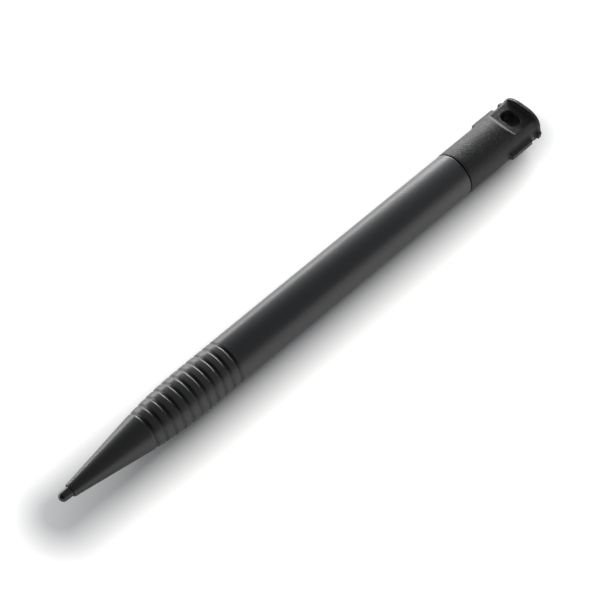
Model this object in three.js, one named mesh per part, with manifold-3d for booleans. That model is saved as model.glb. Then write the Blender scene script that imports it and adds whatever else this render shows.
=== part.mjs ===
// Pressure-sensing digitizer stylus: a slim black pen with a ribbed grip and a tether lug at its tail.
// Millimetres. The pen lies along X, tip towards -X, with the flats of the tether lug facing up and down.
// Along the pen, every place is its distance from the tip of the nib; the last lines move the whole pen
// so that its origin is under its middle, on the surface it lies on.

import * as THREE from "three";
import Module from "manifold-3d";
import { mergeVertices } from "three/addons/utils/BufferGeometryUtils.js";

// ---------------------------------------------------------------- driving dimensions

const PEN_LENGTH = 118.8;
const BARREL_RADIUS = 4.5;
const CAP_RADIUS = 4.55;
const FIN_REACH = 5.37; // from the pen's axis to the outside of the side rails

const OUTER_SIDES = 32; // facets around the housing
const INNER_SIDES = 24; // facets around the pieces inside
const SMALL_SIDES = 12; // facets around thin pieces
const PRESS_TRAVEL = 0.3; // how far the nib can be pushed in
const FIT = 0.05; // clearance between pieces that touch
const SEAT = 0.02; // clearance under pieces that rest on a flat
const OVERSHOOT = 1; // how far a cutting shape reaches past what it cuts

// nib
const NIB_DOME_RADIUS = 0.93;
const NIB_RADIUS = 0.97;
const NIB_HEAD_END = 5.5;
const SHANK_RADIUS = 0.7;
const SHANK_END = 28.5;

// nose cone and the sweep from it to the barrel
const NOSE_FRONT = 2.47;
const NOSE_TIP_RADIUS = 1.3;
const NOSE_EDGE = 0.15; // rounding of the rim around the nib
const NOSE_BORE = 1.07;
const CONE_SLOPE = 0.1504; // radius gained per millimetre
const SWEEP_RADIUS = 90; // arc between the cone and the barrel, seen from the side
const CORE_BORE = 1.62;
const CORE_POCKET = [7, 11.5];
const WINDING_BORE = 2.25;
const SPIGOT_RADIUS = 2.55;
const SPIGOT_END = 22.5;

// ribbed grip
const FIRST_GROOVE = 19.31;
const GROOVE_PITCH = 1.952;
const GROOVE_COUNT = 11;
const GROOVE_DEPTH = 0.25;
const GROOVE_WIDTH = 0.74;
const GROOVE_STEPS = 4;

// barrel
const NECK_RADIUS = 3.05; // the part of the barrel that carries the grip
const NECK_BORE = 2.65;
const BARREL_BORE = 3.7;
const BORE_SHOULDER = 41.5;
const SEAM = 99.12;
const SEAM_GAP = 0.2;
const SEAM_CHAMFER = 0.1;

// tail cap
const CAP_SPIGOT = [90.3, 3.6]; // where the plug starts, and its radius
const SPIGOT_LEAD_IN = 0.2;
const CAP_BORE = 2.4;
const CAP_BORE_END = 109.3;
const SEAL_GROOVE = [95.5, 96.5, 2.85]; // from, to, floor radius
const SEAL_SECTION = 0.38;
const SEAL_STEPS = 8; // facets around the section of the seal
const FLAT_HEIGHT = 3.12; // of the tether flat above the axis
const FLAT_START = 112.66;
const LIP_START = 118.12;
const LIP_SWEEP = 0.32; // radius of the curve from the flat up to the lip
const SQUARING_START = 116.6; // from here to the lip the round section grows squarer
const SQUARING_RATE = 3; // slow at first, fastest at the end
const SQUARING_RINGS = 7;
const END_HALF_WIDTH = 4.62;
const END_HALF_HEIGHT = 4.12;
const END_SQUARENESS = 2.7; // 2 would be an ellipse
const END_BEVEL = 0.14;
const TETHER_HOLE = { centre: 114.95, along: 2.72, across: 3.9, corner: 1.2 };
const FIN_HALF_THICKNESS = 0.55; // at the outside of the rails
const FIN_SLOPE = 1.7; // how much the fins narrow for each millimetre they thicken
const FIN_ROOT_REACH = 4.2;
const RAIL = { start: 109.45, full: 110.2, bevel: 115.7, end: 116.1 };
const EAR = { start: 117.3, full: 117.6, bevel: 118.4 };
const NOTCH_REACH = 4.4; // the notch between rail and ear goes down to the round of the cap

// pen core: ferrite rod and winding
const CORE_RADIUS = 1.5;
const CORE_HOLE = 0.8;
const CORE_SPAN = [7.3, 25.3];
const BOBBIN_SPAN = [11.8, 24.4];
const BOBBIN_FLANGE = [0.5, 2.1]; // thickness, radius
const BOBBIN_WALL = [1.55, 1.65];
const WINDING_RADIUS = 2.0;

// pressure sensor
const HOUSING_SPAN = [24.5, 43];
const HOUSING_RADIUS = 2.5;
const HOUSING_BORE = 2.05;
const HOUSING_LIP = [26.9, 1.65]; // back of the lip, its hole radius
const HOUSING_SHELF = [31.6, 32.2, 1.15]; // from, to, hole radius
const HOUSING_FLANGE = [41.6, 3.55]; // front of the flange, its radius
const HOLDER_SPAN = [25.6, 33.3];
const HOLDER_SOCKET = [28.7, 0.75]; // bottom of the socket, its radius
const HOLDER_COLLAR = [26.95, 27.6, 1.9];
const HOLDER_NOSE_RADIUS = 1.45;
const HOLDER_STEM_RADIUS = 1.0;
const ELECTRODE_THICKNESS = 1.0;
const ELECTRODE_RADIUS = 1.7;
const ELECTRODE_DOME = 0.3;
const DISC_THICKNESS = 0.8;
const DISC_RADIUS = 1.95;
const CONTACT_THICKNESS = 0.2;
const CONTACT_RADIUS = 1.6;
const SENSOR_BASE_END = 41.4;
const PIN = { radius: 0.12, across: 0.8, length: 7 };
const LEAD = { radius: 0.12, across: 2.06, start: 22.7, end: 46.5 };
const LEAD_HEIGHT = 0.98;
const LEAD_SLOT = [1.92, 2.8, 0.22]; // inner edge, outer edge, half height
const SPRING = { wire: 0.17, coilRadius: 1.38, turns: 4, stepsPerTurn: 12, segmentsPerHalf: 3 };

// circuit board and its carrier
const CARRIER_SPAN = [43.1, 88];
const CARRIER_RADII = [2.6, 3.6];
const BOARD_BAY = [44.2, 81.2];
const BOARD_END_GAP = 0.15;
const BOARD_WIDTH = 6.6;
const BOARD_THICKNESS = 0.8;
const DAMPER_SPAN = [88.1, 90.2];
const DAMPER_RADIUS = 3.5;
const TRIMMER = { centre: 57, along: 3.4, across: 3.2, height: 1.1, pivot: 0.35 };
const ROTOR = { radius: 1.2, height: 0.45, slot: 0.4, slotDepth: 0.2, pin: 0.3, pinLength: 0.7 };
const CHIP = { along: 1.6, across: 0.8 };
const CAPACITOR_HEIGHT = 0.8;
const RESISTOR_HEIGHT = 0.45;
const CAPACITOR_PLACES = [
  [64, 1.5],
  [64, -1.5],
  [68, 1.5],
  [68, -1.5],
];
const RESISTOR_PLACE = [52, 0];

// ---------------------------------------------------------------- materials

const plastic = (color, roughness) => new THREE.MeshStandardMaterial({ color, roughness, metalness: 0 });
const metal = (color, roughness) => new THREE.MeshStandardMaterial({ color, roughness, metalness: 1 });

const SATIN_BLACK = plastic(0x1b1b1d, 0.42);
const GRIP_BLACK = plastic(0x18181a, 0.36);
const BARREL_BLACK = plastic(0x1e1e21, 0.48);
const CAP_BLACK = plastic(0x222224, 0.6);
const NIB_BLACK = plastic(0x151516, 0.25);
const FERRITE_GREY = plastic(0x3a3a3d, 0.5);
const NATURAL_NYLON = plastic(0xd8d2bf, 0.45);
const SENSOR_BLACK = plastic(0x2b2b2e, 0.5);
const RUBBER_BLACK = plastic(0x101010, 0.85);
const CERAMIC_WHITE = plastic(0xe9e6dc, 0.35);
const BOARD_GREEN = plastic(0x1f5a35, 0.45);
const CHIP_TAN = plastic(0x9a7a52, 0.5);
const RESISTOR_BLACK = plastic(0x202022, 0.4);
const FOAM_GREY = plastic(0x55565a, 0.95);
const COPPER = metal(0xb8683a, 0.35);
const STEEL = metal(0xb9bcc0, 0.3);
const BRASS = metal(0xc9a24e, 0.35);

// ---------------------------------------------------------------- solids

const wasm = await Module();
wasm.setup();

function solid(geometry) {
  const bare = geometry.clone();
  bare.deleteAttribute("normal");
  bare.deleteAttribute("uv");
  const merged = mergeVertices(bare, 1e-5);
  const corners = merged.index.array;
  const triangles = [];
  for (let i = 0; i < corners.length; i += 3) {
    const [a, b, c] = corners.slice(i, i + 3);
    const collapsed = a === b || b === c || c === a;
    if (!collapsed) triangles.push(a, b, c);
  }
  return new wasm.Manifold(
    new wasm.Mesh({
      numProp: 3,
      vertProperties: new Float32Array(merged.attributes.position.array),
      triVerts: new Uint32Array(triangles),
    }),
  );
}

function surface(body) {
  const mesh = body.getMesh();
  const geometry = new THREE.BufferGeometry();
  geometry.setAttribute("position", new THREE.BufferAttribute(mesh.vertProperties, 3));
  geometry.setIndex(new THREE.BufferAttribute(mesh.triVerts, 1));
  const faceted = geometry.toNonIndexed();
  faceted.computeVertexNormals();
  return faceted;
}

// A turned solid from [along, radius] pairs: the outer wall runs towards the tail, a bore runs back
// towards the tip. A profile that doesn't start on the axis closes on itself. The facets touch the
// true circle, so the pen lies on a flat and its sizes across flats are exact.
function turned(profile, sides = OUTER_SIDES) {
  const corner = 1 / Math.cos(Math.PI / sides);
  const points = profile.map(([along, radius]) => new THREE.Vector2(radius * corner, along));
  const isRing = profile[0][1] > 0;
  if (isRing) points.push(points[0].clone());
  const geometry = new THREE.LatheGeometry(points, sides, Math.PI / sides);
  return solid(geometry.rotateZ(-Math.PI / 2));
}

function tube(from, to, inner, outer, sides = OUTER_SIDES) {
  return turned([[from, inner], [from, outer], [to, outer], [to, inner]], sides);
}

function rod(from, to, radius, sides = OUTER_SIDES) {
  return turned([[from, 0], [from, radius], [to, radius], [to, 0]], sides);
}

// A solid through rings across the pen, each [along, size], where size gives the radius at an angle
// around the pen. Its facets line up with those of a turned solid.
function lofted(rings, sides = OUTER_SIDES) {
  const corner = 1 / Math.cos(Math.PI / sides);
  const positions = [];
  for (const [along, size] of rings) {
    for (let i = 0; i < sides; i++) {
      const angle = (2 * Math.PI * (i + 0.5)) / sides;
      const radius = size(angle) * corner;
      positions.push(along, radius * Math.cos(angle), radius * Math.sin(angle));
    }
  }
  const last = (rings.length - 1) * sides;
  const triangles = [];
  for (let i = 0; i < sides; i++) {
    const next = (i + 1) % sides;
    for (let ring = 0; ring < last; ring += sides) {
      triangles.push(ring + i, ring + next, ring + sides + next);
      triangles.push(ring + i, ring + sides + next, ring + sides + i);
    }
    triangles.push(0, next, i);
    triangles.push(last, last + i, last + next);
  }
  const geometry = new THREE.BufferGeometry();
  geometry.setAttribute("position", new THREE.Float32BufferAttribute(positions, 3));
  geometry.setIndex(triangles);
  return solid(geometry);
}

function box(from, to) {
  const size = to.map((value, i) => value - from[i]);
  const geometry = new THREE.BoxGeometry(...size);
  return solid(geometry.translate(...to.map((value, i) => (value + from[i]) / 2)));
}

// An outline in the plane across the pen (Y to the side, Z up), drawn out along the pen.
function drawnAlong(outline, from, to) {
  const geometry = new THREE.ExtrudeGeometry(outline, {
    depth: to - from,
    bevelEnabled: false,
    curveSegments: 6,
  });
  const turn = new THREE.Matrix4().makeBasis(
    new THREE.Vector3(0, 1, 0),
    new THREE.Vector3(0, 0, 1),
    new THREE.Vector3(1, 0, 0),
  );
  return solid(geometry.applyMatrix4(turn).translate(from, 0, 0));
}

// An outline seen from above (X along the pen, Y to the side), drawn upwards.
function drawnUp(outline, bottom, top) {
  const geometry = new THREE.ExtrudeGeometry(outline, {
    depth: top - bottom,
    bevelEnabled: false,
    curveSegments: 5,
  });
  return solid(geometry.translate(0, 0, bottom));
}

function mirroredDown(body) {
  return body.mirror([0, 0, 1]);
}

// ---------------------------------------------------------------- outside of the pen

const SWEEP_ANGLE = Math.atan(CONE_SLOPE);
const CONE_MEETS_BARREL = NOSE_FRONT + NOSE_EDGE + (BARREL_RADIUS - NOSE_TIP_RADIUS) / CONE_SLOPE;
const SWEEP_END = CONE_MEETS_BARREL + SWEEP_RADIUS * Math.tan(SWEEP_ANGLE / 2);
const SWEEP_START = SWEEP_END - SWEEP_RADIUS * Math.sin(SWEEP_ANGLE);
const LAST_GROOVE = FIRST_GROOVE + GROOVE_PITCH * (GROOVE_COUNT - 1);

// Radius of the housing without its grooves: a cone, an arc tangent to it, and the straight barrel.
function envelope(along) {
  if (along <= SWEEP_START) {
    return NOSE_TIP_RADIUS + CONE_SLOPE * (along - NOSE_FRONT - NOSE_EDGE);
  }
  if (along < SWEEP_END) {
    return BARREL_RADIUS - SWEEP_RADIUS + Math.sqrt(SWEEP_RADIUS ** 2 - (SWEEP_END - along) ** 2);
  }
  return BARREL_RADIUS;
}

// The rounded groove at a place, from one edge (-1), its floor (0), or the other edge (1).
function groove(centre, fromEdge, toEdge) {
  const halfWidth = GROOVE_WIDTH / 2;
  const roundness = (halfWidth ** 2 + GROOVE_DEPTH ** 2) / (2 * GROOVE_DEPTH);
  const halfAngle = Math.asin(halfWidth / roundness);
  const steps = (GROOVE_STEPS * (toEdge - fromEdge)) / 2;
  const points = [];
  for (let i = 0; i <= steps; i++) {
    const angle = halfAngle * (fromEdge + ((toEdge - fromEdge) * i) / steps);
    const depth = GROOVE_DEPTH - roundness * (1 - Math.cos(angle));
    const along = centre + roundness * Math.sin(angle);
    points.push([along, envelope(along) - depth]);
  }
  return points;
}

function roundedFront(along, radius, edge) {
  const points = [];
  for (let angle = 0; angle <= 90; angle += 30) {
    const turn = THREE.MathUtils.degToRad(angle);
    points.push([along + edge * (1 - Math.sin(turn)), radius - edge * (1 - Math.cos(turn))]);
  }
  return points.reverse();
}

// ---------------------------------------------------------------- housing pieces

function makeNib() {
  const profile = [];
  for (let angle = 0; angle <= 80; angle += 20) {
    const turn = THREE.MathUtils.degToRad(angle);
    profile.push([NIB_DOME_RADIUS * (1 - Math.cos(turn)), NIB_DOME_RADIUS * Math.sin(turn)]);
  }
  const shoulder = NIB_RADIUS - SHANK_RADIUS;
  profile.push([NOSE_FRONT - PRESS_TRAVEL, NIB_RADIUS]);
  profile.push([NIB_HEAD_END, NIB_RADIUS]);
  profile.push([NIB_HEAD_END + shoulder, SHANK_RADIUS]);
  profile.push([SHANK_END, SHANK_RADIUS]);
  profile.push([SHANK_END, 0]);
  return turned(profile, INNER_SIDES);
}

function makeNoseCone() {
  const [pocketStart, pocketEnd] = CORE_POCKET;
  return turned([
    [NOSE_FRONT, NOSE_BORE],
    ...roundedFront(NOSE_FRONT, NOSE_TIP_RADIUS, NOSE_EDGE),
    [SWEEP_START, envelope(SWEEP_START)],
    ...groove(FIRST_GROOVE - FIT, -1, 0),
    [FIRST_GROOVE - FIT, SPIGOT_RADIUS],
    [SPIGOT_END, SPIGOT_RADIUS],
    [SPIGOT_END, WINDING_BORE],
    [pocketEnd, WINDING_BORE],
    [pocketEnd, CORE_BORE],
    [pocketStart, CORE_BORE],
    [pocketStart, NOSE_BORE],
  ]);
}

function makeGripSleeve() {
  const profile = [[FIRST_GROOVE, NECK_RADIUS + FIT]];
  for (let i = 0; i < GROOVE_COUNT; i++) {
    const fromEdge = i === 0 ? 0 : -1;
    const toEdge = i === GROOVE_COUNT - 1 ? 0 : 1;
    profile.push(...groove(FIRST_GROOVE + GROOVE_PITCH * i, fromEdge, toEdge));
  }
  profile.push([LAST_GROOVE, NECK_RADIUS + FIT]);
  return turned(profile);
}

function makeBarrel() {
  const end = SEAM - SEAM_GAP / 2;
  const neckFront = FIRST_GROOVE + FIT;
  return turned([
    [neckFront, NECK_BORE],
    [neckFront, NECK_RADIUS],
    [LAST_GROOVE + FIT, NECK_RADIUS],
    ...groove(LAST_GROOVE + FIT, 0, 1),
    [end - SEAM_CHAMFER, BARREL_RADIUS],
    [end, BARREL_RADIUS - SEAM_CHAMFER],
    [end, BARREL_BORE],
    [BORE_SHOULDER, BARREL_BORE],
    [BORE_SHOULDER, NECK_BORE],
  ]);
}

// Radius at an angle around the pen of a section between an ellipse (squareness 2) and a rectangle.
function squaredRound(halfWidth, halfHeight, squareness) {
  return (angle) => {
    const across = Math.abs(Math.cos(angle)) / halfWidth;
    const up = Math.abs(Math.sin(angle)) / halfHeight;
    return (across ** squareness + up ** squareness) ** (-1 / squareness);
  };
}

// Section of the cap, from the start of its squaring (share 0) to the lip (share 1).
function capSection(share, shrink = 0) {
  return squaredRound(
    THREE.MathUtils.lerp(CAP_RADIUS, END_HALF_WIDTH, share) - shrink,
    THREE.MathUtils.lerp(CAP_RADIUS, END_HALF_HEIGHT, share) - shrink,
    THREE.MathUtils.lerp(2, END_SQUARENESS, share),
  );
}

function capOutside() {
  const front = SEAM + SEAM_GAP / 2;
  const rings = [
    [front, () => CAP_RADIUS - SEAM_CHAMFER],
    [front + SEAM_CHAMFER, () => CAP_RADIUS],
  ];
  for (let i = 0; i < SQUARING_RINGS; i++) {
    const way = i / (SQUARING_RINGS - 1);
    rings.push([THREE.MathUtils.lerp(SQUARING_START, LIP_START, way), capSection(way ** SQUARING_RATE)]);
  }
  rings.push([PEN_LENGTH - END_BEVEL, capSection(1)]);
  rings.push([PEN_LENGTH, capSection(1, END_BEVEL)]);
  return lofted(rings);
}

function capSpigot() {
  const [start, radius] = CAP_SPIGOT;
  const [sealFrom, sealTo, sealFloor] = SEAL_GROOVE;
  const end = SEAM + OVERSHOOT;
  return turned([
    [start, 0],
    [start, radius - SPIGOT_LEAD_IN],
    [start + SPIGOT_LEAD_IN, radius],
    [sealFrom, radius],
    [sealFrom, sealFloor],
    [sealTo, sealFloor],
    [sealTo, radius],
    [end, radius],
    [end, 0],
  ]);
}

// The space above the tether flat: a 45 degree ramp down to the flat, then level, then curved up to the lip.
function spaceOverFlat() {
  const clear = CAP_RADIUS + OVERSHOOT;
  const rampStart = FLAT_START - (clear - FLAT_HEIGHT);
  const outline = new THREE.Shape();
  outline.moveTo(rampStart, clear);
  outline.lineTo(FLAT_START, FLAT_HEIGHT);
  outline.absarc(LIP_START - LIP_SWEEP, FLAT_HEIGHT + LIP_SWEEP, LIP_SWEEP, -Math.PI / 2, 0);
  outline.lineTo(LIP_START, clear);
  const geometry = new THREE.ExtrudeGeometry(outline, {
    depth: 2 * clear,
    bevelEnabled: false,
    curveSegments: 5,
  });
  return solid(geometry.rotateX(Math.PI / 2).translate(0, clear, 0));
}

// Side rails and ears: their outline from above, cut out of a bar whose section thickens into the cap.
function fins() {
  const side = [
    [RAIL.start, NOTCH_REACH],
    [RAIL.full, FIN_REACH],
    [RAIL.bevel, FIN_REACH],
    [RAIL.end, NOTCH_REACH],
    [EAR.start, NOTCH_REACH],
    [EAR.full, FIN_REACH],
    [EAR.bevel, FIN_REACH],
    [PEN_LENGTH - END_BEVEL, NOTCH_REACH],
  ];
  const fromAbove = new THREE.Shape();
  fromAbove.moveTo(...side[0]);
  side.slice(1).forEach(([along, reach]) => fromAbove.lineTo(along, reach));
  side.reverse().forEach(([along, reach]) => fromAbove.lineTo(along, -reach));

  const rootThickness = FIN_HALF_THICKNESS + (FIN_REACH - FIN_ROOT_REACH) / FIN_SLOPE;
  const section = new THREE.Shape();
  section.moveTo(FIN_REACH, -FIN_HALF_THICKNESS);
  section.lineTo(FIN_REACH, FIN_HALF_THICKNESS);
  section.lineTo(FIN_ROOT_REACH, rootThickness);
  section.lineTo(-FIN_ROOT_REACH, rootThickness);
  section.lineTo(-FIN_REACH, FIN_HALF_THICKNESS);
  section.lineTo(-FIN_REACH, -FIN_HALF_THICKNESS);
  section.lineTo(-FIN_ROOT_REACH, -rootThickness);
  section.lineTo(FIN_ROOT_REACH, -rootThickness);

  const slab = drawnUp(fromAbove, -CAP_RADIUS, CAP_RADIUS);
  return slab.intersect(drawnAlong(section, RAIL.start - OVERSHOOT, PEN_LENGTH + OVERSHOOT));
}

function tetherHole() {
  const { centre, along, across, corner } = TETHER_HOLE;
  const x = along / 2 - corner;
  const y = across / 2 - corner;
  const outline = new THREE.Shape();
  outline.absarc(centre + x, y, corner, 0, Math.PI / 2);
  outline.absarc(centre - x, y, corner, Math.PI / 2, Math.PI);
  outline.absarc(centre - x, -y, corner, Math.PI, 1.5 * Math.PI);
  outline.absarc(centre + x, -y, corner, 1.5 * Math.PI, 2 * Math.PI);
  return drawnUp(outline, -CAP_RADIUS - OVERSHOOT, CAP_RADIUS + OVERSHOOT);
}

function makeTailCap() {
  const space = spaceOverFlat();
  return capOutside()
    .subtract(space)
    .subtract(mirroredDown(space))
    .add(fins())
    .add(capSpigot())
    .subtract(rod(CAP_SPIGOT[0] - OVERSHOOT, CAP_BORE_END, CAP_BORE))
    .subtract(tetherHole());
}

function makeCapSeal() {
  const [from, to, floor] = SEAL_GROOVE;
  const middle = (from + to) / 2;
  const ringRadius = floor + SEAT + SEAL_SECTION;
  const profile = [];
  for (let i = 0; i < SEAL_STEPS; i++) {
    const turn = (2 * Math.PI * i) / SEAL_STEPS;
    profile.push([middle - SEAL_SECTION * Math.cos(turn), ringRadius + SEAL_SECTION * Math.sin(turn)]);
  }
  return turned(profile);
}

// ---------------------------------------------------------------- antenna: ferrite core and winding

function makeCoilBobbin() {
  const [from, to] = BOBBIN_SPAN;
  const [flange, flangeRadius] = BOBBIN_FLANGE;
  const [bore, wall] = BOBBIN_WALL;
  return turned(
    [
      [from, bore],
      [from, flangeRadius],
      [from + flange, flangeRadius],
      [from + flange, wall],
      [to - flange, wall],
      [to - flange, flangeRadius],
      [to, flangeRadius],
      [to, bore],
    ],
    INNER_SIDES,
  );
}

function makeCoilWinding() {
  const [from, to] = BOBBIN_SPAN;
  const flange = BOBBIN_FLANGE[0] + SEAT;
  return tube(from + flange, to - flange, BOBBIN_WALL[1] + SEAT, WINDING_RADIUS, INNER_SIDES);
}

function makeCoilLead(side) {
  const lead = rod(LEAD.start, LEAD.end, LEAD.radius, SMALL_SIDES);
  return lead.translate([0, side * LEAD.across, LEAD_HEIGHT]);
}

// ---------------------------------------------------------------- pressure sensor

function makeSensorHousing() {
  const [front, back] = HOUSING_SPAN;
  const [lipBack, lipHole] = HOUSING_LIP;
  const [shelfFront, shelfBack, shelfHole] = HOUSING_SHELF;
  const [flangeFront, flangeRadius] = HOUSING_FLANGE;
  const [slotInner, slotOuter, slotHalf] = LEAD_SLOT;
  const shell = turned(
    [
      [front, lipHole],
      [front, HOUSING_RADIUS],
      [flangeFront, HOUSING_RADIUS],
      [flangeFront, flangeRadius],
      [back, flangeRadius],
      [back, HOUSING_BORE],
      [shelfBack, HOUSING_BORE],
      [shelfBack, shelfHole],
      [shelfFront, shelfHole],
      [shelfFront, HOUSING_BORE],
      [lipBack, HOUSING_BORE],
      [lipBack, lipHole],
    ],
    INNER_SIDES,
  );
  const slot = box(
    [front - OVERSHOOT, slotInner, LEAD_HEIGHT - slotHalf],
    [back + OVERSHOOT, slotOuter, LEAD_HEIGHT + slotHalf],
  );
  return shell.subtract(slot).subtract(slot.mirror([0, 1, 0]));
}

function makeNibHolder() {
  const [front, back] = HOLDER_SPAN;
  const [socketEnd, socketRadius] = HOLDER_SOCKET;
  const [collarFront, collarBack, collarRadius] = HOLDER_COLLAR;
  return turned(
    [
      [socketEnd, 0],
      [socketEnd, socketRadius],
      [front, socketRadius],
      [front, HOLDER_NOSE_RADIUS],
      [collarFront, HOLDER_NOSE_RADIUS],
      [collarFront, collarRadius],
      [collarBack, collarRadius],
      [collarBack, HOLDER_STEM_RADIUS],
      [back, HOLDER_STEM_RADIUS],
      [back, 0],
    ],
    INNER_SIDES,
  );
}

class SpringCurve extends THREE.Curve {
  constructor(from, to) {
    super();
    this.from = from;
    this.to = to;
  }

  getPoint(t, target = new THREE.Vector3()) {
    const turn = 2 * Math.PI * SPRING.turns * t;
    const along = THREE.MathUtils.lerp(this.from, this.to, t);
    return target.set(along, SPRING.coilRadius * Math.cos(turn), SPRING.coilRadius * Math.sin(turn));
  }
}

function makeReturnSpring() {
  const clear = SPRING.wire + FIT;
  const path = new SpringCurve(HOLDER_COLLAR[1] + clear, HOUSING_SHELF[0] - clear);
  const wire = new THREE.Shape();
  wire.absarc(0, 0, SPRING.wire, 0, 2 * Math.PI);
  const geometry = new THREE.ExtrudeGeometry(wire, {
    extrudePath: path,
    steps: SPRING.turns * SPRING.stepsPerTurn,
    curveSegments: SPRING.segmentsPerHalf,
  });
  return solid(geometry);
}

const ELECTRODE_START = HOLDER_SPAN[1] + SEAT;
const ELECTRODE_END = ELECTRODE_START + ELECTRODE_THICKNESS + ELECTRODE_DOME;
const DISC_START = ELECTRODE_END + PRESS_TRAVEL + FIT;
const CONTACT_START = DISC_START + DISC_THICKNESS + SEAT;
const SENSOR_BASE_START = CONTACT_START + CONTACT_THICKNESS + SEAT;

function makeRubberElectrode() {
  const domeStart = ELECTRODE_START + ELECTRODE_THICKNESS;
  const profile = [
    [ELECTRODE_START, 0],
    [ELECTRODE_START, ELECTRODE_RADIUS],
  ];
  for (let angle = 0; angle <= 90; angle += 22.5) {
    const turn = THREE.MathUtils.degToRad(angle);
    const radius = angle === 90 ? 0 : ELECTRODE_RADIUS * Math.cos(turn);
    profile.push([domeStart + ELECTRODE_DOME * Math.sin(turn), radius]);
  }
  return turned(profile, INNER_SIDES);
}

function makeSensorPin(side) {
  const start = SENSOR_BASE_END + FIT;
  const pin = rod(start, start + PIN.length, PIN.radius, SMALL_SIDES);
  return pin.translate([0, side * PIN.across, LEAD_HEIGHT]);
}

// ---------------------------------------------------------------- circuit board and carrier

const BOARD_TOP = SEAT + BOARD_THICKNESS;

function makeBoardCarrier() {
  const [from, to] = CARRIER_SPAN;
  const [inner, outer] = CARRIER_RADII;
  const [bayFrom, bayTo] = BOARD_BAY;
  const bay = box([bayFrom, -BARREL_RADIUS, 0], [bayTo, BARREL_RADIUS, BARREL_RADIUS]);
  return tube(from, to, inner, outer).subtract(bay);
}

function makeCircuitBoard() {
  const [bayFrom, bayTo] = BOARD_BAY;
  const half = BOARD_WIDTH / 2;
  return box([bayFrom + BOARD_END_GAP, -half, SEAT], [bayTo - BOARD_END_GAP, half, BOARD_TOP]);
}

function onBoard([centre, across], size, height) {
  const [x, y] = size.map((value) => value / 2);
  const bottom = BOARD_TOP + SEAT;
  return box([centre - x, across - y, bottom], [centre + x, across + y, bottom + height]);
}

function upright(radius, bottom, top) {
  const geometry = new THREE.CylinderGeometry(radius, radius, top - bottom, INNER_SIDES);
  return solid(geometry.rotateX(Math.PI / 2).translate(TRIMMER.centre, 0, (bottom + top) / 2));
}

const TRIMMER_TOP = BOARD_TOP + SEAT + TRIMMER.height;

function makeTrimmerBody() {
  const { centre, along, across, height, pivot } = TRIMMER;
  const block = onBoard([centre, 0], [along, across], height);
  return block.subtract(upright(pivot, TRIMMER_TOP - ROTOR.pinLength - FIT, TRIMMER_TOP + OVERSHOOT));
}

function makeTrimmerRotor() {
  const bottom = TRIMMER_TOP + FIT;
  const top = bottom + ROTOR.height;
  const disc = upright(ROTOR.radius, bottom, top);
  const pin = upright(ROTOR.pin, TRIMMER_TOP - ROTOR.pinLength, bottom + ROTOR.height / 2);
  const slot = box(
    [TRIMMER.centre - ROTOR.radius - OVERSHOOT, -ROTOR.slot / 2, top - ROTOR.slotDepth],
    [TRIMMER.centre + ROTOR.radius + OVERSHOOT, ROTOR.slot / 2, top + OVERSHOOT],
  );
  return disc.add(pin).subtract(slot);
}

// ---------------------------------------------------------------- the pen

const pen = new THREE.Group();
pen.position.set(-PEN_LENGTH / 2, 0, CAP_RADIUS);

function place(name, body, material) {
  const mesh = new THREE.Mesh(surface(body), material);
  mesh.name = name;
  pen.add(mesh);
}

place("nib", makeNib(), NIB_BLACK);
place("nose_cone", makeNoseCone(), SATIN_BLACK);
place("grip_sleeve", makeGripSleeve(), GRIP_BLACK);
place("barrel", makeBarrel(), BARREL_BLACK);
place("tail_cap", makeTailCap(), CAP_BLACK);
place("cap_seal", makeCapSeal(), RUBBER_BLACK);

place("ferrite_core", tube(...CORE_SPAN, CORE_HOLE, CORE_RADIUS, INNER_SIDES), FERRITE_GREY);
place("coil_bobbin", makeCoilBobbin(), NATURAL_NYLON);
place("coil_winding", makeCoilWinding(), COPPER);
place("coil_lead_left", makeCoilLead(1), COPPER);
place("coil_lead_right", makeCoilLead(-1), COPPER);

place("sensor_housing", makeSensorHousing(), SENSOR_BLACK);
place("nib_holder", makeNibHolder(), NATURAL_NYLON);
place("return_spring", makeReturnSpring(), STEEL);
place("rubber_electrode", makeRubberElectrode(), RUBBER_BLACK);
place("ceramic_disc", rod(DISC_START, DISC_START + DISC_THICKNESS, DISC_RADIUS, INNER_SIDES), CERAMIC_WHITE);
place(
  "disc_contact",
  rod(CONTACT_START, CONTACT_START + CONTACT_THICKNESS, CONTACT_RADIUS, INNER_SIDES),
  BRASS,
);
place("sensor_base", rod(SENSOR_BASE_START, SENSOR_BASE_END, DISC_RADIUS, INNER_SIDES), SENSOR_BLACK);
place("sensor_pin_left", makeSensorPin(1), STEEL);
place("sensor_pin_right", makeSensorPin(-1), STEEL);

place("board_carrier", makeBoardCarrier(), SENSOR_BLACK);
place("circuit_board", makeCircuitBoard(), BOARD_GREEN);
place("trimmer_body", makeTrimmerBody(), CERAMIC_WHITE);
place("trimmer_rotor", makeTrimmerRotor(), BRASS);
CAPACITOR_PLACES.forEach((spot, i) => {
  place(`chip_capacitor_${i + 1}`, onBoard(spot, [CHIP.along, CHIP.across], CAPACITOR_HEIGHT), CHIP_TAN);
});
place("chip_resistor", onBoard(RESISTOR_PLACE, [CHIP.along, CHIP.across], RESISTOR_HEIGHT), RESISTOR_BLACK);
place("rear_damper", rod(...DAMPER_SPAN, DAMPER_RADIUS, INNER_SIDES), FOAM_GREY);

export default pen;
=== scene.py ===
# Looks of the digitizer stylus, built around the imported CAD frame.
# Lengths are millimetres along the pen from the tip of its nib until a mesh is made, and metres after that.

import math

import bmesh
import bpy
import numpy as np
from mathutils import Matrix, Vector


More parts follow.
